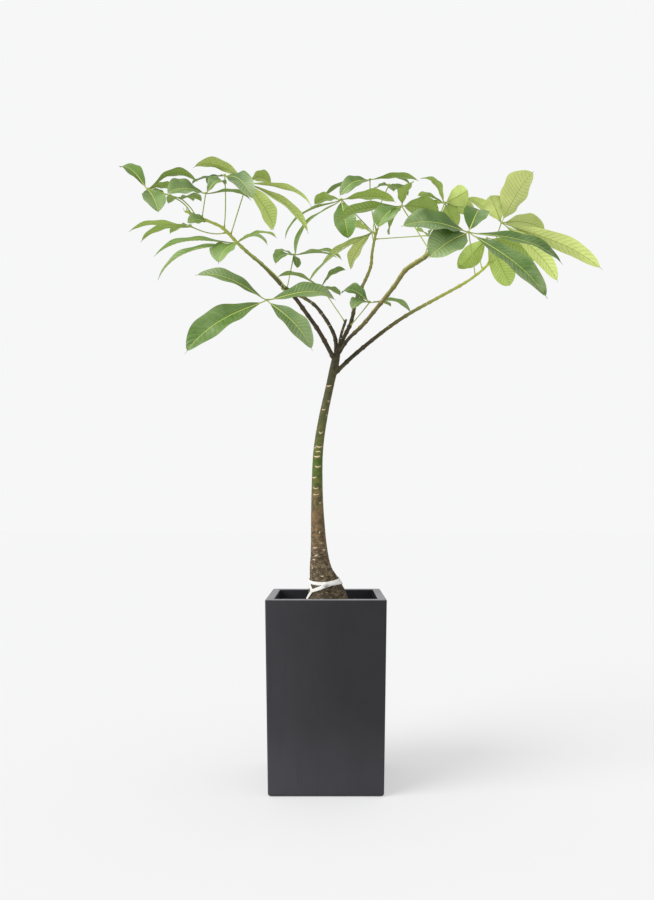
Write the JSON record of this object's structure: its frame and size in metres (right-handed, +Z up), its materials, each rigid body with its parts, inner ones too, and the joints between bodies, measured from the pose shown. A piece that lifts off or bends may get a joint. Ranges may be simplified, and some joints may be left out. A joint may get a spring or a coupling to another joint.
{
  "type": "potted money tree",
  "caption": "Small indoor tree with a flared stem, branches and compound leaves, planted in soil in a tall square planter.",
  "frame": {"origin": "middle of the planter's underside, on the surface it stands on", "axes": "+Z up, -Y towards the viewer of the picture, +X to the viewer's right"},
  "size_m": [1.2374, 0.603, 1.6644],
  "materials": {
    "fibre_clay": "matte",
    "soil": "matte",
    "bark": "satin",
    "tape": "matte",
    "leaf_green": "satin"
  },
  "bodies": {
    "root": {"pot": "fibre_clay", "soil": "soil", "stem": "bark", "tie": "tape", "leaf_centre_1": "leaf_green", "leaf_centre_2": "leaf_green", "leaf_centre_3": "leaf_green", "leaf_centre_4": "leaf_green", "leaf_centre_5": "leaf_green", "leaf_centre_6": "leaf_green", "leaf_east_1": "leaf_green", "leaf_east_2": "leaf_green", "leaf_east_3": "leaf_green", "leaf_inner_1": "leaf_green", "leaf_south_1": "leaf_green", "leaf_south_2": "leaf_green", "leaf_stub_1": "leaf_green", "leaf_west_1": "leaf_green", "leaf_west_2": "leaf_green", "leaf_west_3": "leaf_green", "leaf_west_4": "leaf_green", "leaf_west_5": "leaf_green", "leaf_west_6": "leaf_green", "leaf_west_7": "leaf_green", "leaf_west_8": "leaf_green", "leaf_west_9": "leaf_green"}
  },
  "joints": []
}
